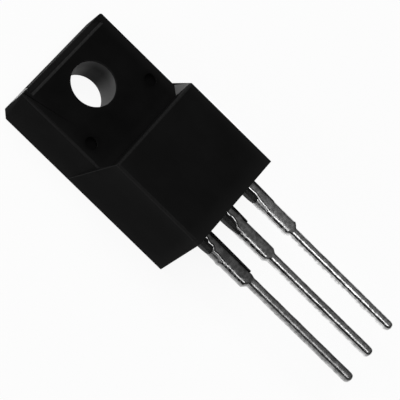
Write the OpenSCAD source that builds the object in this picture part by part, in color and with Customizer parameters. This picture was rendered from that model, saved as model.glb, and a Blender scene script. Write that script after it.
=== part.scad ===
// Power transistor in a fully moulded package with one screw hole and three leads.
// The part lies on its back. The origin is the centre of the screw hole on the back face,
// +X runs across the body, +Y towards the end of the tab and +Z out of the front face.

/* [Body outline] */
// Width across the back, where the body is widest
body_w = 10; // [9.6:0.1:11]
// Screw hole's centre to the end of the tab, at the back
tab_reach = 3; // [2.9:0.1:4]
// Screw hole's centre to the end that the leads come out of, at the front
body_reach = 12; // [11.9:0.1:14]
// Screw hole's centre to the step, at the front
step_reach = 4.57; // [4.3:0.01:4.8]
// Thickness of the thick part
body_thick = 4.6; // [4.4:0.1:5.4]
// Thickness of the tab
tab_thick = 2.7; // [2.4:0.1:2.9]

/* [Moulded faces] */
// How far each side of the thick part leans in, from back to front
body_side_lean = 0.82; // [0.2:0.02:0.9]
// How far each side of the tab leans in, from back to front
tab_side_lean = 0.7; // [0.3:0.02:0.8]
// How far the end of the tab leans in, from back to front
tab_end_lean = 0.1; // [0.05:0.05:0.3]
// How much shorter the thick part is at the back, at the leads
lead_end_lean = 0.3; // [0.05:0.05:0.4]
// How far the shoulders beside the tab lean out, from front to back
shoulder_lean = 1.5; // [1:0.1:1.8]
// How far the wall of the step leans out, from its top to the tab
step_wall_lean = 0.05; // [0.02:0.01:0.1]
// Width of each gusset at the foot of the step, from the tab's side
gusset_w = 0.5; // [0.3:0.05:0.8]
// Chamfer on the two corners at the end of the tab, at the back
back_corner_chamfer = 0.5; // [0.2:0.05:0.6]
// Chamfer on the same corners at the front
front_corner_chamfer = 0.1; // [0.05:0.05:0.3]
// Length of the slope that takes down the front edge at the end of the tab
end_slope_len = 0.5; // [0.3:0.05:0.6]
// Depth of that slope at the end of the tab
end_slope_depth = 0.45; // [0.2:0.05:0.7]
// Width of the corner that stands at full height beside the slope
end_corner_w = 0.45; // [0.3:0.05:0.8]

/* [Screw hole and pin marks] */
// Diameter of the screw hole
hole_d = 3.2; // [3:0.05:3.6]
// Diameter of the round marks that the mould's support pins leave
pin_mark_d = 0.9; // [0.6:0.05:1]
// Depth of the pin marks
pin_mark_depth = 0.3; // [0.1:0.05:0.5]
// Pin marks from the middle of the tab
pin_mark_x = 3.3; // [3:0.05:3.4]
// Pin marks from the screw hole's centre towards the leads
pin_mark_y = 2.55; // [2.2:0.05:2.9]

/* [Leads] */
// Distance between the middles of neighbouring leads
lead_pitch = 2.54; // [2.4:0.01:2.6]
// Thickness of the lead sheet
lead_thick = 0.5; // [0.4:0.05:0.6]
// Height of the leads' underside above the back face
lead_height = 2.6; // [2.5:0.05:2.8]
// Length of the leads outside the body
lead_len = 13.7; // [12:0.1:15]
// Width of the leads next to the body
lead_root_w = 1.05; // [0.9:0.05:1.2]
// Length of the wide stretch outside the body
lead_root_len = 4.1; // [3:0.1:5]
// Length of the shoulder where a lead narrows
lead_shoulder_len = 0.3; // [0.1:0.05:0.6]
// Width of the narrow stretch
lead_w = 0.6; // [0.5:0.05:0.75]
// Chamfer at the tip of a lead
lead_tip_chamfer = 0.16; // [0.05:0.01:0.2]

/* [Copper plate] */
// Moulding compound between the plate and the back face
plate_cover = 0.5; // [0.4:0.05:0.6]
// Thickness of the plate under the chip
plate_thick = 1.2; // [1:0.05:1.3]
// Width of the plate
plate_w = 7.6; // [7.2:0.1:7.8]
// Screw hole's centre to the end of the plate that lies in the tab
plate_reach = 1.6; // [0:0.1:1.8]
// Screw hole's centre to the end of the plate at the leads
plate_end = 10.2; // [10:0.05:10.4]
// Moulding compound between the screw hole and the plate
hole_cover = 0.9; // [0.6:0.05:1]
// Depth of the grooves on the plate's sides that the compound grips
plate_groove = 0.3; // [0.2:0.05:0.4]
// Length of the collector lead's bend
bend_len = 0.8; // [0.6:0.05:1]

/* [Chip and bonds] */
// Side of the square chip
chip_w = 3.4; // [2.5:0.1:3.8]
// Thickness of the chip
chip_thick = 0.3; // [0.2:0.02:0.4]
// Screw hole's centre to the middle of the chip
chip_reach = 7; // [6.9:0.05:7.2]
// Thickness of the solder under the chip
solder_thick = 0.06; // [0.04:0.01:0.1]
// Margin of the solder round the chip
solder_margin = 0.1; // [0.05:0.05:0.2]
// Length of the bond pads along the leads
pad_len = 1.4; // [1.2:0.05:1.5]
// Width of the bond pads
pad_w = 2; // [1.8:0.05:2.1]
// Moulding compound between the bond pads and the end at the leads
pad_cover = 0.8; // [0.7:0.05:0.9]
// How far the bond pads stand out past their leads' outer edges
pad_outset = 0.3; // [0.2:0.05:0.4]
// Diameter of the hole in a lead that the compound grips
grip_hole_d = 0.5; // [0.4:0.05:0.6]
// Bond wires' ends from the inner edges of the pads
bond_inset = 0.45; // [0.35:0.05:0.5]
// Base bond on the chip from the middle of the chip, towards the base lead
base_bond_x = 0.95; // [0.7:0.05:1.2]
// Base bond on the chip from the middle of the chip, towards the leads
base_bond_y = 1; // [0.7:0.05:1.2]
// Emitter bond on the chip from the middle of the chip, towards the emitter lead
emitter_bond_x = 0.7; // [0.4:0.05:0.9]
// Emitter bond on the chip from the middle of the chip, towards the leads
emitter_bond_y = 0.35; // [0.1:0.05:0.7]
// Diameter of the base bond wire
base_wire_d = 0.2; // [0.15:0.01:0.25]
// Diameter of the emitter bond wire
emitter_wire_d = 0.36; // [0.3:0.01:0.4]
// Rise of a bond wire's loop above the line between its ends
loop_rise = 0.8; // [0.6:0.05:0.9]

/* [Hidden] */
$fn = 64;

past = 1;       // how far a cutter runs past the solid
lap = 0.5;      // how far two shapes of one piece run into each other
// Length, width and height of a bond wire's flattened foot, in wire diameters
wire_foot = [3, 1.3, 1];

body_front_half = body_w / 2 - body_side_lean;
tab_front_half = body_w / 2 - tab_side_lean;
shoulder_at_tab = step_reach - shoulder_lean * (body_thick - tab_thick) / body_thick;
lead_top = lead_height + lead_thick;
lead_tip_y = -body_reach - lead_len;

plate_top = plate_cover + plate_thick;
solder_top = plate_top + solder_thick;
chip_top = solder_top + chip_thick;

pad_y0 = -body_reach + lead_end_lean + pad_cover;   // end of a pad at the leads
pad_x = lead_pitch + lead_root_w / 2 + pad_outset - pad_w / 2;
bond_y = pad_y0 + pad_len - bond_inset;
lead_exit_y = -body_reach + lead_end_lean * (body_thick - lead_height) / body_thick;

// The gusset's inner face goes through its foot, the tab's edge and the body's front corner
gusset_foot = [tab_front_half - gusset_w, -step_reach + step_wall_lean];
gusset_run = [gusset_w, step_reach - shoulder_at_tab - step_wall_lean];
gusset_turn = atan2(gusset_run[1], gusset_run[0]);
corner_run = [body_front_half - gusset_foot[0], -step_reach - gusset_foot[1]];
gusset_rise = body_thick - tab_thick;
gusset_lean = atan2(corner_run[0] * sin(gusset_turn) - corner_run[1] * cos(gusset_turn),
                    gusset_rise);

// Solid of the given outline in Y and Z that leans in on both sides
module leaning_block(outline, lean, thick) {
  half = body_w / 2;
  intersection() {
    rotate([90, 0, 90])
      translate([0, 0, -half])
        linear_extrude(body_w) polygon(outline);
    rotate([90, 0, 0])
      translate([0, 0, -tab_reach - past])
        linear_extrude(tab_reach + body_reach + 2 * past)
          polygon([[-half, 0], [half, 0], [half - lean, thick], [lean - half, thick]]);
  }
}

module thick_part() {
  leaning_block([[-body_reach + lead_end_lean, 0],
                 [-step_reach + shoulder_lean, 0],
                 [-step_reach, body_thick],
                 [-body_reach, body_thick]],
                body_side_lean, body_thick);
}

module tab() {
  difference() {
    leaning_block([[-step_reach - past, 0],
                   [tab_reach, 0],
                   [tab_reach - tab_end_lean, tab_thick],
                   [-step_reach - past, tab_thick]],
                  tab_side_lean, tab_thick);
    end_slope();
    for (side = [0, 1]) mirror([side, 0, 0]) corner_cutter();
  }
}

// Takes down the front edge at the end of the tab, between its two corners
module end_slope() {
  half = tab_front_half - end_corner_w;
  y0 = tab_reach - tab_end_lean - end_slope_len;
  y1 = y0 + 2 * end_slope_len;
  translate([-half, 0, 0])
    rotate([90, 0, 90])
      linear_extrude(2 * half)
        polygon([[y0, tab_thick], [y1, tab_thick - 2 * end_slope_depth],
                 [y1, tab_thick + past], [y0, tab_thick + past]]);
}

// Cuts a flat along the corner edge at the end of the tab, narrower towards the front
module corner_cutter() {
  lean = (tab_side_lean + tab_end_lean - back_corner_chamfer + front_corner_chamfer) / sqrt(2);
  translate([body_w / 2 - back_corner_chamfer / 2, tab_reach - back_corner_chamfer / 2, 0])
    rotate([0, 0, 45])
      rotate([0, -atan2(lean, tab_thick), 0])
        translate([0, -body_w / 2, -past])
          cube([body_w, body_w, tab_thick + 3 * past]);
}

// Half of space, on the +Y side of its own X-Z plane
module half_space() {
  translate([-2 * body_w, 0, -2 * body_w]) cube(4 * body_w);
}

// Space over the tab, between the step's wall and the two gussets
module step_notch() {
  intersection() {
    translate([-body_w, -body_reach, tab_thick])
      cube([2 * body_w, body_reach + tab_reach + past, body_thick]);
    translate([0, gusset_foot[1], tab_thick])
      rotate([atan2(step_wall_lean, gusset_rise), 0, 0])
        half_space();
    gusset_side();
    mirror([1, 0, 0]) gusset_side();
  }
}

module gusset_side() {
  translate([gusset_foot[0], gusset_foot[1], tab_thick])
    rotate([0, 0, gusset_turn])
      rotate([gusset_lean, 0, 0])
        half_space();
}

module screw_hole() {
  translate([0, 0, -past]) cylinder(d = hole_d, h = tab_thick + 2 * past);
}

module pin_mark() {
  translate([pin_mark_x, -pin_mark_y, tab_thick - pin_mark_depth])
    cylinder(d = pin_mark_d, h = pin_mark_depth + past, $fn = 32);
}

// Outside of the moulding, still solid where the inner pieces lie
module moulding_shape() {
  difference() {
    union() {
      thick_part();
      tab();
    }
    step_notch();
    screw_hole();
    for (side = [0, 1]) mirror([side, 0, 0]) pin_mark();
  }
}

// Half outline of a lead in X and Y, from y_in inside the body to the tip
function lead_side(y_in) = [
  [lead_root_w / 2, y_in],
  [lead_root_w / 2, -body_reach - lead_root_len],
  [lead_w / 2, -body_reach - lead_root_len - lead_shoulder_len],
  [lead_w / 2, lead_tip_y + lead_tip_chamfer],
  [lead_w / 2 - lead_tip_chamfer, lead_tip_y]];

module straight_lead(y_in) {
  side = lead_side(y_in);
  translate([0, 0, lead_height])
    linear_extrude(lead_thick)
      polygon(concat(side, [for (i = [len(side) - 1:-1:0]) [-side[i][0], side[i][1]]]));
}

// Outer lead on the +X side with its bond pad
module outer_lead() {
  difference() {
    union() {
      translate([lead_pitch, 0, 0]) straight_lead(pad_y0 + lap);
      translate([pad_x - pad_w / 2, pad_y0, lead_height])
        cube([pad_w, pad_len, lead_thick]);
    }
    translate([lead_pitch, (pad_y0 + lead_exit_y) / 2, lead_height - past])
      cylinder(d = grip_hole_d, h = lead_thick + 2 * past, $fn = 32);
  }
}

// Rises from the plate's top to the height of the outer leads
module collector_bend() {
  y0 = -plate_end;
  y1 = y0 - bend_len;
  slant = lead_thick * (sqrt(pow(bend_len, 2) + pow(lead_top - plate_top, 2)) - bend_len)
          / (lead_top - plate_top);
  rotate([90, 0, 90])
    translate([0, 0, -lead_root_w / 2])
      linear_extrude(lead_root_w)
        polygon([[y0 + lap, plate_top], [y0, plate_top], [y1, lead_top],
                 [y1 - lap, lead_top], [y1 - lap, lead_height],
                 [y1 - slant, lead_height], [y0 - slant, plate_top - lead_thick],
                 [y0 + lap, plate_top - lead_thick]]);
}

module plate() {
  groove_z = plate_cover + plate_thick / 2;
  difference() {
    translate([-plate_w / 2, -plate_end, plate_cover])
      cube([plate_w, plate_end + plate_reach, plate_thick]);
    translate([0, 0, plate_cover - past])
      cylinder(r = hole_d / 2 + hole_cover, h = plate_thick + 2 * past);
    for (side = [-1, 1])
      translate([side * plate_w / 2, 0, groove_z])
        rotate([90, 0, 0])
          translate([0, 0, -plate_reach - past])
            linear_extrude(plate_end + plate_reach + 2 * past)
              polygon([[0, plate_groove], [-side * plate_groove, 0], [0, -plate_groove],
                       [side * past, -plate_groove], [side * past, plate_groove]]);
  }
}

// One bond wire with its two flattened feet, from p on the chip to q on a pad
module bond_wire(p, q, d) {
  foot = wire_foot * d;
  run = norm([q[0] - p[0], q[1] - p[1]]);
  drop = q[2] - p[2];
  chord = norm([run, drop]);
  bow = (pow(chord, 2) / 4 + pow(loop_rise, 2)) / (2 * loop_rise);
  reach = asin(chord / 2 / bow);
  translate([p[0], p[1], p[2]])
    rotate([0, 0, atan2(q[1] - p[1], q[0] - p[0])]) {
      translate([-foot[0] / 2, -foot[1] / 2, 0]) cube(foot);
      translate([run - foot[0] / 2, -foot[1] / 2, drop]) cube(foot);
      translate([run / 2, 0, drop / 2 + foot[2] / 2])
        rotate([0, -atan2(drop, run), 0])
          translate([0, 0, loop_rise - bow])
            rotate([90, 0, 0])
              rotate([0, 0, 90 - reach])
                rotate_extrude(angle = 2 * reach)
                  translate([bow, 0]) circle(d = d, $fn = 24);
    }
}

module collector_lead_and_plate() {
  color("silver") {
    plate();
    collector_bend();
    straight_lead(-plate_end - bend_len);
  }
}

module emitter_lead() {
  color("silver") outer_lead();
}

module base_lead() {
  color("silver") mirror([1, 0, 0]) outer_lead();
}

module chip_solder() {
  side = chip_w + 2 * solder_margin;
  color("gray")
    translate([-side / 2, -chip_reach - side / 2, plate_top]) cube([side, side, solder_thick]);
}

module chip() {
  color("dimgray")
    translate([-chip_w / 2, -chip_reach - chip_w / 2, solder_top])
      cube([chip_w, chip_w, chip_thick]);
}

module base_bond_wire() {
  color("lightgray")
    bond_wire([-base_bond_x, -chip_reach - base_bond_y, chip_top],
              [-pad_x, bond_y, lead_top], base_wire_d);
}

module emitter_bond_wire() {
  color("lightgray")
    bond_wire([emitter_bond_x, -chip_reach - emitter_bond_y, chip_top],
              [pad_x, bond_y, lead_top], emitter_wire_d);
}

// Everything that the compound flows round
module inner_pieces() {
  collector_lead_and_plate();
  base_lead();
  emitter_lead();
  chip_solder();
  chip();
  base_bond_wire();
  emitter_bond_wire();
}

module moulded_body() {
  color([0.07, 0.07, 0.075])
    difference() {
      moulding_shape();
      inner_pieces();
    }
}

moulded_body();
collector_lead_and_plate();
base_lead();
emitter_lead();
chip();
chip_solder();
base_bond_wire();
emitter_bond_wire();
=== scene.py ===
import bmesh
import bpy
from math import cos, pi, radians, sin
from mathutils import Matrix, Vector, noise
from mathutils.bvhtree import BVHTree


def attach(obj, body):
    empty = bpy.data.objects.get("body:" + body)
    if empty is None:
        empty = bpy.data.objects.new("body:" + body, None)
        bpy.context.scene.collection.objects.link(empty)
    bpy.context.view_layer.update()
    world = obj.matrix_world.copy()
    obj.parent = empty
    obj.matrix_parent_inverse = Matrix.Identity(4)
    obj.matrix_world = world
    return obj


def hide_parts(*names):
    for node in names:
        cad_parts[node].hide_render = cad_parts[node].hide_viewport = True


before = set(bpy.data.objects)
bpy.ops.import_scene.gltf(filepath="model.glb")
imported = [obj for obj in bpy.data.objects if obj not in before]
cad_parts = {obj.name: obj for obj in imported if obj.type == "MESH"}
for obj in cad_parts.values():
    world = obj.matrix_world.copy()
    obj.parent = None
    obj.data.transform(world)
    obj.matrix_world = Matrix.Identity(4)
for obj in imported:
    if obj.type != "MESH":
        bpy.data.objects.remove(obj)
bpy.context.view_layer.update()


# Studio. The transistor lies on its back on a white light table, in a dim room. A long lens
# looks down on it from above its left side. A softbox hangs overhead, one stands beyond the tab
# and one low on the left.
camera_data = bpy.data.cameras.new("long_lens")
camera_data.sensor_width = 36
camera_data.lens = 199.403
camera_data.clip_start = 0.005
camera_data.clip_end = 20
camera = bpy.data.objects.new("camera", camera_data)
bpy.context.scene.collection.objects.link(camera)
right = Vector((0.568243, -0.711020, 0.414186))
up = Vector((0.651908, 0.696145, 0.300664))
camera_place = Vector((-0.073844, 0.004137, 0.127926))
camera_turn = Matrix((right, up, right.cross(up))).transposed().to_4x4()
camera.matrix_world = Matrix.Translation(camera_place) @ camera_turn
bpy.context.scene.camera = camera
bpy.context.scene.view_settings.view_transform = "Standard"

softbox_aim, softbox_distance = Vector((0, -0.01, 0)), 0.5
for name, towards, width, length, radiance in (
        ("softbox_overhead", (-0.24, -0.07, 0.97), 0.16, 0.3, 2.8),
        ("softbox_beyond_tab", (0.3, 0.5, 0.81), 0.35, 0.35, 2.3),
        ("softbox_low_left", (-0.7, 0.66, 0.25), 0.3, 0.3, 1.85)):
    light = bpy.data.lights.new(name, "AREA")
    light.shape = "RECTANGLE"
    light.size = width
    light.size_y = length
    light.energy = radiance * pi * width * length
    lamp = bpy.data.objects.new(name, light)
    bpy.context.scene.collection.objects.link(lamp)
    lamp.rotation_euler = Vector(towards).to_track_quat("Z", "Y").to_euler()
    lamp.location = softbox_aim + Vector(towards).normalized() * softbox_distance

table_mesh = bpy.data.meshes.new("light_table")
table_height = -0.00001
table_corners = [(x, y, table_height) for x, y in ((-2, -2), (2, -2), (2, 2), (-2, 2))]
table_mesh.from_pydata(table_corners, [], [(0, 1, 2, 3)])
light_table = bpy.data.objects.new("light_table", table_mesh)
bpy.context.scene.collection.objects.link(light_table)
glow = bpy.data.materials.new("light_table")
glow.use_nodes = True
glow_shader = glow.node_tree.nodes["Principled BSDF"]
glow_shader.inputs["Base Color"].default_value = (0.12, 0.12, 0.12, 1)
glow_shader.inputs["Roughness"].default_value = 0.9
glow_shader.inputs["Specular IOR Level"].default_value = 0.0
glow_shader.inputs["Emission Color"].default_value = (1, 1, 1, 1)
glow_shader.inputs["Emission Strength"].default_value = 0.91
table_mesh.materials.append(glow)


class Wire:
    """A value in a node tree. Sums of wires and numbers add their own Math nodes."""

    def __init__(self, tree, socket=None):
        self.tree, self.socket = tree, socket

    def node(self, kind, settings=None, sockets=None, out=0):
        """One output of a new node, which gets its settings first and then its inputs."""
        made = self.tree.nodes.new(kind)
        for name, value in (settings or {}).items():
            setattr(made, name, value)
        for name, value in (sockets or {}).items():
            if isinstance(value, Wire):
                self.tree.links.new(value.socket, made.inputs[name])
            else:
                made.inputs[name].default_value = value
        return Wire(self.tree, made.outputs[out])

    def maths(self, operation, *others):
        return self.node("ShaderNodeMath", {"operation": operation}, dict(enumerate((self, *others))))

    def __add__(self, other):
        return self.maths("ADD", other)

    def __radd__(self, other):
        return self.maths("ADD", other)

    def __sub__(self, other):
        return self.maths("SUBTRACT", other)

    def __rsub__(self, other):
        return self * -1 + other

    def __mul__(self, other):
        return self.maths("MULTIPLY", other)

    def __rmul__(self, other):
        return self.maths("MULTIPLY", other)

    def __truediv__(self, other):
        return self.maths("DIVIDE", other)

    def __abs__(self):
        return self.maths("ABSOLUTE")

    def parts(self):
        """X, Y and Z of a vector."""
        split = self.node("ShaderNodeSeparateXYZ", {}, {0: self})
        return [Wire(self.tree, socket) for socket in split.socket.node.outputs]

    def slide(self, low, high, kind="SMOOTHSTEP"):
        """0 at low, 1 at high and held outside them."""
        return self.node("ShaderNodeMapRange", {"interpolation_type": kind},
                         {"Value": self, "From Min": low, "From Max": high})

    def noise(self, scale, detail=2.0, roughness=0.5):
        return self.node("ShaderNodeTexNoise", {}, {"Vector": self, "Scale": scale, "Detail": detail,
                                                    "Roughness": roughness})

    def between(self, low, high):
        """A colour between two colours."""
        return self.node("ShaderNodeMix", {"data_type": "RGBA"},
                         {0: self, 6: (*low, 1), 7: (*high, 1)}, 2)

    def grey(self, low, high):
        """A grey between two greys."""
        return self.between((low, low, low), (high, high, high))

    def bump(self, strength, distance):
        return self.node("ShaderNodeBump", {},
                         {"Height": self, "Strength": strength, "Distance": distance})

    def into(self, socket):
        self.tree.links.new(self.socket, socket)


room = bpy.data.worlds.new("dim_room")
room.use_nodes = True
height = Wire(room.node_tree).node("ShaderNodeTexCoord").parts()[2]
height.slide(0.4, 0.95).grey(0.012, 0.14).into(room.node_tree.nodes["Background"].inputs["Color"])
bpy.context.scene.world = room


# Moulded body. Black epoxy, transfer-moulded in one shot round the lead frame. The mould's
# spark-eroded faces leave a fine matt grain, and its core pin and corner inserts smooth faces.
tab_front = 0.0027
hole_radius = 0.0016
pin_mark_x, pin_mark_y, pin_mark_radius = 0.0033, -0.00255, 0.00045


def start_material(name):
    """A material, its shader and the place on the object in metres."""
    material = bpy.data.materials.new(name)
    material.use_nodes = True
    tree = material.node_tree
    place = Wire(tree).node("ShaderNodeTexCoord", out="Object")
    return material, tree.nodes["Principled BSDF"], place


def from_axis(x, y, axis_x, axis_y):
    """How far a place is from an upright axis."""
    return ((x - axis_x) * (x - axis_x) + (y - axis_y) * (y - axis_y)).maths("SQRT")


def matt_epoxy():
    """Fine grain; paler near the leads' end and along the sides, more on the right, as painted highlights
    on the rounded edges, and paler towards the back as painted light from the table; darker on the tab,
    with painted shade towards the step, painted light at its foot and darker round the pin marks; and a
    faint ring on each side of the hole.
    """
    material, shader, place = start_material("matt_epoxy")
    grain = place.noise(15000, 3, 0.65)
    cloud = place.noise(380, 3, 0.55)
    x, y, z = place.parts()
    ring_radius, ring_width = 0.00036, 0.00007
    rings = 0
    for ring_x, ring_y in ((-0.0032, 0.0008), (0.0034, 0.0005)):
        rings = rings + abs(from_axis(x, y, ring_x, ring_y) - ring_radius).slide(ring_width, 0)
    rings = rings * z.slide(0.0026, 0.00265)
    # Painted highlights: paler near the leads' end and along both sides, more on the right, where the
    # rounded edges catch light. Painted light from the table: paler towards the back.
    by_leads = y.slide(-0.0107, -0.0122)
    by_side = abs(x).slide(0.0034, 0.0043) - abs(x).slide(0.0042, 0.0044)
    by_back = z.slide(0.0012, 0.0)
    painted_light = by_leads * 0.4 + by_side * (0.25 + x * 25) + by_back * 0.2
    on_tab = z.slide(0.003, 0.0028) * z.slide(0.0025, 0.0026)
    # Painted shade: the tab darkens towards the step. Painted light lifts it again at the step's foot.
    painted_step_shade = y.slide(-0.0008, -0.0026)
    painted_foot_light = y.slide(-0.0037, -0.0046)
    by_pin_mark = from_axis(abs(x), y, pin_mark_x, pin_mark_y).slide(0.0009, 0.0003)
    dark = on_tab * (0.14 + painted_step_shade * 0.08 + by_pin_mark * 0.12 - painted_foot_light * 0.2)
    (0.25 + cloud * 0.5 + painted_light - dark).grey(0.002, 0.0155).into(shader.inputs["Base Color"])
    (0.68 + cloud * 0.14 - rings * 0.12).into(shader.inputs["Roughness"])
    shader.inputs["Specular IOR Level"].default_value = 0.02
    (grain * 0.6 - rings * 0.8).bump(0.5, 0.000012).into(shader.inputs["Normal"])
    return material


def smooth_epoxy(name, low, high, roughness, specular):
    """Epoxy from a polished part of the mould, or rubbed smooth; on the gusset its pale greys are a painted
    highlight.
    """
    material, shader, place = start_material(name)
    cloud = place.noise(1500, 3, 0.6)
    cloud.grey(low, high).into(shader.inputs["Base Color"])
    (roughness + cloud * 0.12).into(shader.inputs["Roughness"])
    shader.inputs["Specular IOR Level"].default_value = specular
    place.noise(12000, 2, 0.5).bump(0.25, 0.000006).into(shader.inputs["Normal"])
    return material


def pin_mark_epoxy():
    """The pin marks: darkest on their floors, with painted light that pales their walls towards the top to
    lift their shade.
    """
    material, shader, place = start_material("pin_mark_epoxy")
    cloud = place.noise(2500, 2, 0.5)
    # Painted light: the walls are paler towards the top, lifting their shade.
    wall = place.parts()[2].slide(0.0024, 0.0026)
    (cloud * 0.15 + wall).grey(0.0028, 0.018).into(shader.inputs["Base Color"])
    (0.65 + cloud * 0.1).into(shader.inputs["Roughness"])
    shader.inputs["Specular IOR Level"].default_value = 0.02
    return material


def core_pin_epoxy():
    """The hole's wall: smooth, and paler towards the leads, towards the tab's end and up at the rim, as a
    painted reflection of the table with a painted highlight along the rim.
    """
    material, shader, place = start_material("core_pin_epoxy")
    x, y, z = place.parts()
    cloud = place.noise(1500, 3, 0.6) * 0.2
    # Painted reflection and painted highlight: paler towards the leads, towards the tab's end and at the
    # rim.
    leads_side, tab_end_side = y.slide(0.0001, -0.0013), y.slide(0.0006, 0.0015)
    rim = z.slide(0.0017, tab_front)
    painted_reflection = leads_side + tab_end_side * 0.5 + rim * 0.35 + cloud - 0.12
    painted_reflection.grey(0.005, 0.15).into(shader.inputs["Base Color"])
    (0.5 + cloud).into(shader.inputs["Roughness"])
    shader.inputs["Specular IOR Level"].default_value = 0.07
    return material


def cad_copy(node):
    """A welded copy of a CAD node's mesh, with its flat faces whole."""
    welded = bmesh.new()
    welded.from_mesh(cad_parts[node].data)
    bmesh.ops.remove_doubles(welded, verts=welded.verts, dist=1e-6)
    bmesh.ops.dissolve_limit(welded, angle_limit=radians(0.6), verts=welded.verts, edges=welded.edges)
    return welded


def into_piece(name, shape, *materials):
    """A new object of the finished shape."""
    mesh = bpy.data.meshes.new(name)
    shape.to_mesh(mesh)
    shape.free()
    if "custom_normal" in mesh.attributes:
        mesh.attributes.remove(mesh.attributes["custom_normal"])
    for material in materials:
        mesh.materials.append(material)
    piece = bpy.data.objects.new(name, mesh)
    bpy.context.scene.collection.objects.link(piece)
    return piece


body_shape = cad_copy("moulded_body")
body_walls = BVHTree.FromBMesh(body_shape)

# The slope at the tab's end starts with an even rounding.
slope_edge, slope_angle, rounding = 0.0024, radians(41.99), 0.00011
slope_foot_share, arc_steps = 0.92, 6
slope_start = slope_edge - rounding
arc_radius = rounding / sin(slope_angle / 2) * cos(slope_angle / 2)
arc = [(slope_start + arc_radius * sin(turn), tab_front - arc_radius * (1 - cos(turn)))
       for turn in (slope_angle * i / arc_steps for i in range(1, arc_steps + 1))]
slope, = [face for face in body_shape.faces
          if face.normal.y > 0.6 and face.normal.z > 0.6 and face.calc_center_median().y > slope_edge]
for vertex in slope.verts:
    if vertex.co.z > tab_front - 1e-5:
        vertex.co.y = slope_start
    else:
        vertex.co.x *= slope_foot_share
for y, z in reversed(arc):
    cut = bmesh.ops.bisect_plane(body_shape, geom=[slope, *slope.edges, *slope.verts], dist=1e-8,
                                 plane_co=(0, y, 0), plane_no=(0, 1, 0))
    cut_verts = [part for part in cut["geom_cut"] if isinstance(part, bmesh.types.BMVert)]
    slope = min(set.intersection(*(set(vertex.link_faces) for vertex in cut_verts)),
                key=lambda face: face.calc_center_median().y)
    for vertex in cut_verts:
        vertex.co.z = z
body_shape.normal_update()

# Places in the body's list of materials, after the matt epoxy.
edge_place, core_pin_place, gusset_place, slope_place, pin_mark_place = range(1, 6)
gusset_normal = Vector((0.781, 0.603, 0.160))
outer_faces = set()
for face in body_shape.faces:
    face.smooth = True
    middle = face.calc_center_median()
    if body_walls.ray_cast(middle + face.normal * 1e-5, face.normal)[0] is None:
        outer_faces.add(face)
    from_pin_mark = (Vector((abs(middle.x), middle.y)) - Vector((pin_mark_x, pin_mark_y))).length
    if abs(middle.xy.length - hole_radius) < 5e-5 and abs(face.normal.z) < 0.1:
        face.material_index = core_pin_place
    elif (Vector((abs(face.normal.x), *face.normal.yz)).dot(gusset_normal) > 0.99
          and face in outer_faces):
        face.material_index = gusset_place
    elif face.normal.y > 0.03 and face.normal.z > 0.7 and 0.0022 < middle.y < 0.00252:
        face.material_index = slope_place
    elif from_pin_mark < pin_mark_radius + 1e-5 and middle.z < tab_front - 1e-5:
        face.material_index = pin_mark_place

# The edges are rounded most along the front faces, and least on the right side.
leads_end, near_side = -0.0115, 0.0035
most_rounded, lightly_rounded, least_rounded = 1.0, 0.4, 0.1
rounded = body_shape.edges.layers.float.new("bevel_weight_edge")
for edge in body_shape.edges:
    if len(edge.link_faces) != 2 or edge.calc_face_angle(0) < radians(12):
        continue
    middle = (edge.verts[0].co + edge.verts[1].co) / 2
    upright = abs(edge.verts[0].co.z - edge.verts[1].co.z) > 0.002
    by_corner_flat = middle.y > slope_edge and any(abs(face.normal.x) > 0.5 and face.normal.y > 0.5
                                                   for face in edge.link_faces)
    if upright and by_corner_flat:
        continue
    hole_rim = abs(middle.xy.length - hole_radius) < 5e-5 and edge.calc_length() < 0.0008
    open_edge = all(face in outer_faces for face in edge.link_faces)
    lead_slot = middle.y < leads_end and 0.0024 < middle.z < 0.0033 and abs(middle.x) < near_side
    crisp = lead_slot or any(face.material_index in (gusset_place, pin_mark_place)
                             for face in edge.link_faces)
    if edge.is_convex and (hole_rim or open_edge) and not crisp:
        front_edge = any(face.normal.z > 0.99 for face in edge.link_faces) and edge.calc_length() > 0.002
        if middle.x > near_side:
            edge[rounded] = least_rounded
        elif front_edge and middle.y > leads_end:
            edge[rounded] = most_rounded
        else:
            edge[rounded] = lightly_rounded
    else:
        edge.smooth = edge.calc_face_angle(0) < radians(30)
epoxy_body = into_piece("epoxy_body", body_shape, matt_epoxy(),
                        smooth_epoxy("edge_epoxy", 0.007, 0.011, 0.6, 0.13),
                        core_pin_epoxy(),
                        # The gusset's pale greys are a painted highlight.
                        smooth_epoxy("gusset_painted_highlight", 0.23, 0.27, 0.45, 0.5),
                        smooth_epoxy("slope_epoxy", 0.006, 0.01, 0.55, 0.24),
                        pin_mark_epoxy())
bevel = epoxy_body.modifiers.new("rounded_edges", "BEVEL")
bevel.limit_method = "WEIGHT"
bevel.width = 0.00016
bevel.use_clamp_overlap = False
bevel.segments = 4
bevel.harden_normals = True
bevel.material = edge_place
weighted = epoxy_body.modifiers.new("flat_faces_stay_flat", "WEIGHTED_NORMAL")
weighted.keep_sharp = True
finished = bpy.data.meshes.new_from_object(
    epoxy_body.evaluated_get(bpy.context.evaluated_depsgraph_get()))
epoxy_body.modifiers.clear()
epoxy_body.data = finished
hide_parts("moulded_body")
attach(epoxy_body, "root")


# Gate scar. Where the runner of cured epoxy was broken off the tab's end, which left a rough,
# lighter patch that stands a little proud of the moulded face.
scar_material, scar_shader, scar_place = start_material("broken_epoxy")
grit = scar_place.noise(9000, 4, 0.7)
grit.slide(0.3, 0.7).grey(0.3, 0.7).into(scar_shader.inputs["Base Color"])
(0.6 + grit * 0.3).into(scar_shader.inputs["Roughness"])
grit.bump(0.8, 0.00003).into(scar_shader.inputs["Normal"])
scar_shape = bmesh.new()
bmesh.ops.create_grid(scar_shape, x_segments=24, y_segments=40, size=0.5)
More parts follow.
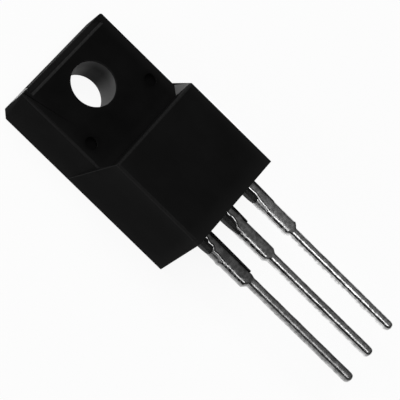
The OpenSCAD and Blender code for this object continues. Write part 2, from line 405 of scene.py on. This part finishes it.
# The scar's place and size, and the leaning face under it, in millimetres.
scar_x, scar_z, scar_width, scar_height = -3.84, 1.45, 0.8, 1.8
tab_end, tab_thickness, end_lean = 3, 2.7, 0.1
for vertex in scar_shape.verts:
    u, v = vertex.co.xy
    x, z = scar_x + scar_width * u, scar_z + scar_height * v
    inside = min(0.5 - abs(u), 0.5 - abs(v))
    rough = noise.fractal(Vector((x * 3, z * 3, 1.7)), 1.0, 2.0, 3)
    proud = 0.025 * rough + 0.07 if inside > 0.06 else -0.03
    y = min(tab_end - end_lean * z / tab_thickness + proud, tab_end - 0.0005)
    vertex.co = (x / 1000, y / 1000, z / 1000)
for face in scar_shape.faces:
    face.smooth = True
bmesh.ops.reverse_faces(scar_shape, faces=scar_shape.faces)
gate_scar = into_piece("gate_scar", scar_shape, scar_material)
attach(gate_scar, "root")


# Leads. Punched from one copper sheet, then dipped in tin, which rounds their edges and lies a
# little unevenly. Each is wide as far as the cut dam bar and narrow from there to its tip. A film
# of resin flash that crept out of the mould lies on its root, with a bead of tin along it.
def tin(name, middle, grey, root_roughness, roughness):
    """Tin: darker up the sheared sides towards their top edge, a painted reflection, dull beside the bead
    and in spots after it.
    """
    material, shader, place = start_material(name)
    x, y, z = place.parts()
    wave = place.noise(1500, 2, 0.5)
    dent = place.noise(4000, 2, 0.5)
    speck = place.noise(9000, 3, 0.6)
    # Painted reflection: each side is darker towards its top edge and lighter towards its bottom; the top
    # face keeps its full grey.
    side = z.slide(0.00305, 0.00265, "LINEAR") * 1.1 + 0.35
    near_top = z.slide(0.00301, 0.00307)
    tone = grey * (side + near_top * (1 - side)) * (0.68 + 0.6 * dent.slide(0.3, 0.7))
    tone.grey(0, 1).into(shader.inputs["Base Color"])
    shader.inputs["Metallic"].default_value = 1.0
    narrow = y.slide(-0.0161, -0.0165)
    left_edge = (x - middle).slide(-0.0002, -0.0004)
    beside_bead = (x - middle).slide(-0.00036, -0.00039) * y.slide(-0.0141, -0.0136)
    dull = (1 - narrow) * left_edge * dent.slide(0.45, 0.6) * 0.3 + beside_bead * 0.3 + speck * 0.08
    (narrow * (roughness - root_roughness) + root_roughness + dull).into(shader.inputs["Roughness"])
    relief = wave * 0.45 + dent * 0.5 + speck * 0.05
    (relief * (1 - narrow * 0.6)).bump(0.7, 0.00002).into(shader.inputs["Normal"])
    return material


def new_tree(name, sizes):
    """A geometry node tree with named number inputs and a Material input, and its wires."""
    tree = bpy.data.node_groups.new(name, "GeometryNodeTree")
    tree.interface.new_socket("Geometry", in_out="OUTPUT", socket_type="NodeSocketGeometry")
    tree.interface.new_socket("Geometry", in_out="INPUT", socket_type="NodeSocketGeometry")
    for size, value in sizes.items():
        number = tree.interface.new_socket(size, in_out="INPUT", socket_type="NodeSocketFloat")
        number.default_value = value
    tree.interface.new_socket("Material", in_out="INPUT", socket_type="NodeSocketMaterial")
    given = tree.nodes.new("NodeGroupInput").outputs
    return tree, {name: Wire(tree, given[name]) for name in ("Geometry", *sizes, "Material")}


def end_tree(tree, shape, material):
    """Shades the shape smooth, makes it real and gives it its material."""
    shape = shape.node("GeometryNodeSetShadeSmooth", {}, {"Geometry": shape})
    shape = shape.node("GeometryNodeRealizeInstances", {}, {"Geometry": shape})
    shape = shape.node("GeometryNodeSetMaterial", {}, {"Geometry": shape, "Material": material})
    shape.into(tree.nodes.new("NodeGroupOutput").inputs["Geometry"])
    return tree


def lead_tree():
    """Sweeps a circle along the lead and squares it: wider and squarer up to the dam bar."""
    tree, size = new_tree("tinned_lead", {
        "Middle": 0.0, "Height": 0.00285, "Start": -0.0117, "Tip": -0.0257, "Half Thickness": 0.00025,
        "Half Width": 0.0003, "Root Half Width": 0.000525, "Left Bulge": 0.00005,
        "Right Bulge": 0.00003, "Under Bulge": 0.00004, "Root Shift": 0.0, "Tip Shift": 0.0,
        "Left Corner": 0.00027, "Right Corner": 0.00026, "Under Corners": 0.0001,
        "Dome": 0.000015, "Root Dome": 0.00003,
        "Shoulder Start": -0.0161, "Shoulder End": -0.0164, "Unevenness": 0.00002, "Seed": 0.0,
        "Left Burr Place": 0.0, "Left Burr": 0.0, "Right Burr Place": 0.0, "Right Burr": 0.0})
    new = Wire(tree)
    circle_radius = 0.001

    def vector(x, y, z):
        return new.node("ShaderNodeCombineXYZ", {}, {0: x, 1: y, 2: z})

    def squared(place, corner, half):
        """Turns one direction of the circle into a flat side with a rounded corner at each end."""
        side = (place * 5).maths("MAXIMUM", -1).maths("MINIMUM", 1)
        return place * corner + side * (half - corner)

    line = new.node("GeometryNodeCurvePrimitiveLine", {}, {
        "Start": vector(size["Middle"], size["Start"], size["Height"]),
        "End": vector(size["Middle"], size["Tip"], size["Height"])})
    line = new.node("GeometryNodeResampleCurve", {}, {"Curve": line, "Count": 240})
    circle = new.node("GeometryNodeCurvePrimitiveCircle", {}, {"Resolution": 64, "Radius": circle_radius})
    lead = new.node("GeometryNodeCurveToMesh", {}, {
        "Curve": line, "Profile Curve": circle, "Fill Caps": True})
    x, y, z = new.node("GeometryNodeInputPosition").parts()
    across, upward = (x - size["Middle"]) / circle_radius, (z - size["Height"]) / circle_radius
    left, right = across.slide(-0.1, -0.5), across.slide(0.1, 0.5)
    root = y.slide(size["Shoulder End"], size["Shoulder Start"], "LINEAR")
    on_left, on_top = across.slide(0.01, -0.01), upward.slide(-0.01, 0.01)
    corner = size["Right Corner"] + on_left * (size["Left Corner"] - size["Right Corner"])
    corner = size["Under Corners"] + on_top * (corner - size["Under Corners"])
    under_bulge = (1 - on_top) * size["Under Bulge"]
    half_width = size["Half Width"] + root * (size["Root Half Width"] - size["Half Width"])
    half_width = half_width + on_left * (size["Left Bulge"] + under_bulge)
    half_width = half_width + (1 - on_left) * size["Right Bulge"]
    half_thickness = size["Half Thickness"] + under_bulge
    dome = (size["Dome"] + root * (size["Root Dome"] - size["Dome"])) * upward.slide(0, 0.6)
    for side, burr in ((left, "Left Burr"), (right, "Right Burr")):
        near_burr = abs(y - size[burr + " Place"]).slide(0.00025, 0.00005)
        half_width = half_width + side * near_burr * size[burr]
    close = (y - size["Tip"]).slide(0, 0.0003, "LINEAR")
    close = (1 - (1 - close) * (1 - close)).maths("SQRT") * 0.65 + 0.35
    drift = new.node("ShaderNodeTexNoise", {"noise_dimensions": "4D"}, {
        "Vector": vector(across, y * 1600, upward), "W": size["Seed"], "Scale": 1.0, "Detail": 3.0}) - 0.5
    swell = size["Unevenness"] * drift * 2
    half_width, half_thickness = half_width + swell, half_thickness + swell
    new_x = squared(across, corner.maths("MINIMUM", half_width), half_width)
    new_z = squared(upward, corner.maths("MINIMUM", half_thickness), half_thickness)
    new_z = (new_z - dome * (new_x / half_width) * (new_x / half_width)) * close
    new_x = new_x * close
    axis = size["Middle"] + size["Tip Shift"] + root * (size["Root Shift"] - size["Tip Shift"])
    lead = new.node("GeometryNodeSetPosition", {}, {
        "Geometry": lead, "Position": vector(axis + new_x, y, size["Height"] + new_z)})
    return end_tree(tree, lead, size["Material"])


def bead_tree():
    """A round bead along the path."""
    tree, size = new_tree("tin_bead", {"Radius": 0.00013})
    path = size["Geometry"].node("GeometryNodeMeshToCurve", {}, {"Mesh": size["Geometry"]})
    path = path.node("GeometryNodeCurveSplineType", {"spline_type": "CATMULL_ROM"}, {"Curve": path})
    path = path.node("GeometryNodeResampleCurve", {}, {"Curve": path, "Count": 40})
    circle = path.node("GeometryNodeCurvePrimitiveCircle", {}, {
        "Resolution": 16, "Radius": size["Radius"]})
    bead = path.node("GeometryNodeCurveToMesh", {}, {
        "Curve": path, "Profile Curve": circle, "Fill Caps": True})
    return end_tree(tree, bead, size["Material"])


def grown(tree, material, path=(), **sizes):
    """The plain mesh that a node tree makes with these sizes, along this path if it needs one."""
    holder = bpy.data.objects.new(tree.name, bpy.data.meshes.new(tree.name))
    holder.data.from_pydata(path, [(i, i + 1) for i in range(len(path) - 1)], [])
    bpy.context.scene.collection.objects.link(holder)
    modifier = holder.modifiers.new(tree.name, "NODES")
    modifier.node_group = tree
    identifiers = {item.name: item.identifier for item in tree.interface.items_tree
                   if item.in_out == "INPUT"}
    for size, value in sizes.items():
        modifier[identifiers[size.replace("_", " ")]] = value
    modifier[identifiers["Material"]] = material
    mesh = bpy.data.meshes.new_from_object(holder.evaluated_get(bpy.context.evaluated_depsgraph_get()))
    bpy.data.objects.remove(holder)
    return mesh


# The film and its strips are drawn in millimetres across from the lead's middle, along Y and up.
flash_start, flash_top = -11.9, 3.12


def film_sections(edge, left):
    """The film from its edge under the bead to the lead's left side, lower towards its end."""
    last = len(edge) - 1
    return [(y, ((x, flash_top), (x, 2.7), (left, 2.57 + 0.35 * (i / last) ** 3), (left, 3.02),
                 (0.5 * (x + left), flash_top))) for i, (x, y) in enumerate(edge)]


def strip_sections(inner_edge, end):
    """The narrow strip of flash on the lead's right side, narrower towards its end."""
    sections, steps = [], 8
    for i in range(steps + 1):
        inner, outer = inner_edge + 0.001 * i * i, 0.61 - 0.0008 * i * i
        sections.append((flash_start + (end - flash_start) * i / steps,
                         ((inner, 3.11), (inner_edge, 2.63), (outer, 2.63), (outer, 3.03))))
    return sections


def skin(shape, sections, middle):
    """Closes a skin over sections across a lead."""
    rings = [[shape.verts.new((middle + across / 1000, y / 1000, high / 1000))
              for across, high in section] for y, section in sections]
    for near, far in zip(rings, rings[1:]):
        for i in range(len(near)):
            shape.faces.new((near[i - 1], near[i], far[i], far[i - 1]))
    shape.faces.new(rings[0])
    shape.faces.new(rings[-1])


lead_shape, bead_shape = lead_tree(), bead_tree()
resin_flash = smooth_epoxy("resin_flash", 0.0, 0.022, 0.4, 0.2)
pitch = 0.00254
bead_height = 0.00304
sealed_end = -0.01175
# Each lead's finish is its grey, its roughness at the root and its roughness further out. The tin's grey is
# its own, but the three greys differ as painted light, set to how brightly each lead shows its highlights.
for node, name, finish, sizes, right_strip, flash_edge, bead_path in (
        ("base_lead", "tinned_base_lead", (0.37, 0.13, 0.29),
         dict(Middle=-pitch, Root_Shift=-0.00004, Tip_Shift=0.00009, Left_Bulge=0.00005, Seed=1.0,
              Left_Burr_Place=-0.0139, Left_Burr=0.00006), (0.36, -15.9),
         ((0.0, -11.9), (-0.03, -12.28), (-0.14, -12.53), (-0.14, -12.85), (-0.3, -13.0), (-0.45, -13.1)),
         ((0.0, -11.9), (-0.02, -12.28), (-0.14, -12.53), (-0.12, -12.87), (-0.22, -13.03), (-0.36, -13.16),
          (-0.33, -13.5), (-0.36, -13.68), (-0.42, -14.1))),
        ("collector_lead_and_plate", "tinned_collector_lead", (0.55, 0.11, 0.22),
         dict(Middle=0.0, Root_Shift=0.0, Left_Bulge=0.00005, Seed=2.0,
              Right_Burr_Place=-0.013, Right_Burr=0.00008), (0.4, -13.6),
         ((-0.03, -11.9), (-0.12, -12.34), (-0.07, -12.61), (-0.13, -12.97), (-0.31, -13.27),
          (-0.42, -13.75)),
         ((-0.03, -11.9), (-0.12, -12.34), (-0.06, -12.61), (-0.13, -12.97), (-0.31, -13.27),
          (-0.37, -13.42), (-0.36, -13.9))),
        ("emitter_lead", "tinned_emitter_lead", (0.7, 0.19, 0.2),
         dict(Middle=pitch, Root_Shift=0.00006, Left_Bulge=0.00003, Seed=3.0,
              Right_Burr_Place=-0.0162, Right_Burr=0.00006), (0.42, -14.1),
         ((-0.02, -11.9), (-0.08, -12.26), (-0.06, -12.7), (-0.14, -12.95), (-0.26, -13.1), (-0.45, -13.2)),
         ((-0.02, -11.9), (-0.08, -12.26), (-0.06, -12.81), (-0.18, -13.28), (-0.22, -13.77),
          (-0.3, -14.2)))):
    dipped_tin = tin(name.replace("tinned", "tin_on"), sizes["Middle"] + sizes["Root_Shift"], *finish)
    sealed = cad_copy(node)
    bmesh.ops.bisect_plane(sealed, geom=sealed.verts[:] + sealed.edges[:] + sealed.faces[:], dist=1e-7,
                           plane_co=(0, sealed_end, 0), plane_no=(0, -1, 0), clear_outer=True)
    bmesh.ops.holes_fill(sealed, edges=sealed.edges)
    for face in sealed.faces:
        face.smooth = False
    sealed.from_mesh(grown(lead_shape, dipped_tin, **sizes))
    bead_line = [(sizes["Middle"] + x / 1000, y / 1000, bead_height) for x, y in bead_path]
    sealed.from_mesh(grown(bead_shape, dipped_tin, bead_line))
    lead = into_piece(name, sealed, dipped_tin)
    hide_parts(node)
    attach(lead, "root")

    flash_shape = bmesh.new()
    left_side = (sizes["Root_Shift"] - sizes["Left_Bulge"]) * 1000 - 0.585
    skin(flash_shape, film_sections(flash_edge, left_side), sizes["Middle"])
    skin(flash_shape, strip_sections(*right_strip), sizes["Middle"])
    bmesh.ops.recalc_face_normals(flash_shape, faces=flash_shape.faces)
    flash = into_piece(name.replace("tinned", "resin_flash_on"), flash_shape, resin_flash)
    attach(flash, "root")


# Chip, its solder and the two bond wires. Sealed in the epoxy: a polished silicon die on a soft
# solder layer, and drawn aluminium wires, each pressed flat where it is bonded.
def inner_finish(name, colour, roughness, metallic):
    """A finish with a fine grain, for a piece that the epoxy hides."""
    material, shader, place = start_material(name)
    grain = place.noise(12000, 2, 0.5)
    grain.between(tuple(0.85 * part for part in colour), colour).into(shader.inputs["Base Color"])
    shader.inputs["Metallic"].default_value = metallic
    (roughness + grain * 0.1).into(shader.inputs["Roughness"])
    return material


silicon = inner_finish("silicon", (0.14, 0.14, 0.16), 0.12, 0.0)
soft_solder = inner_finish("soft_solder", (0.45, 0.45, 0.46), 0.4, 1.0)
bond_wire = inner_finish("bond_wire", (0.85, 0.85, 0.86), 0.25, 1.0)
for node, material in (("chip", silicon), ("chip_solder", soft_solder),
                       ("base_bond_wire", bond_wire), ("emitter_bond_wire", bond_wire)):
    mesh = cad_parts[node].data
    mesh.materials.clear()
    mesh.materials.append(material)
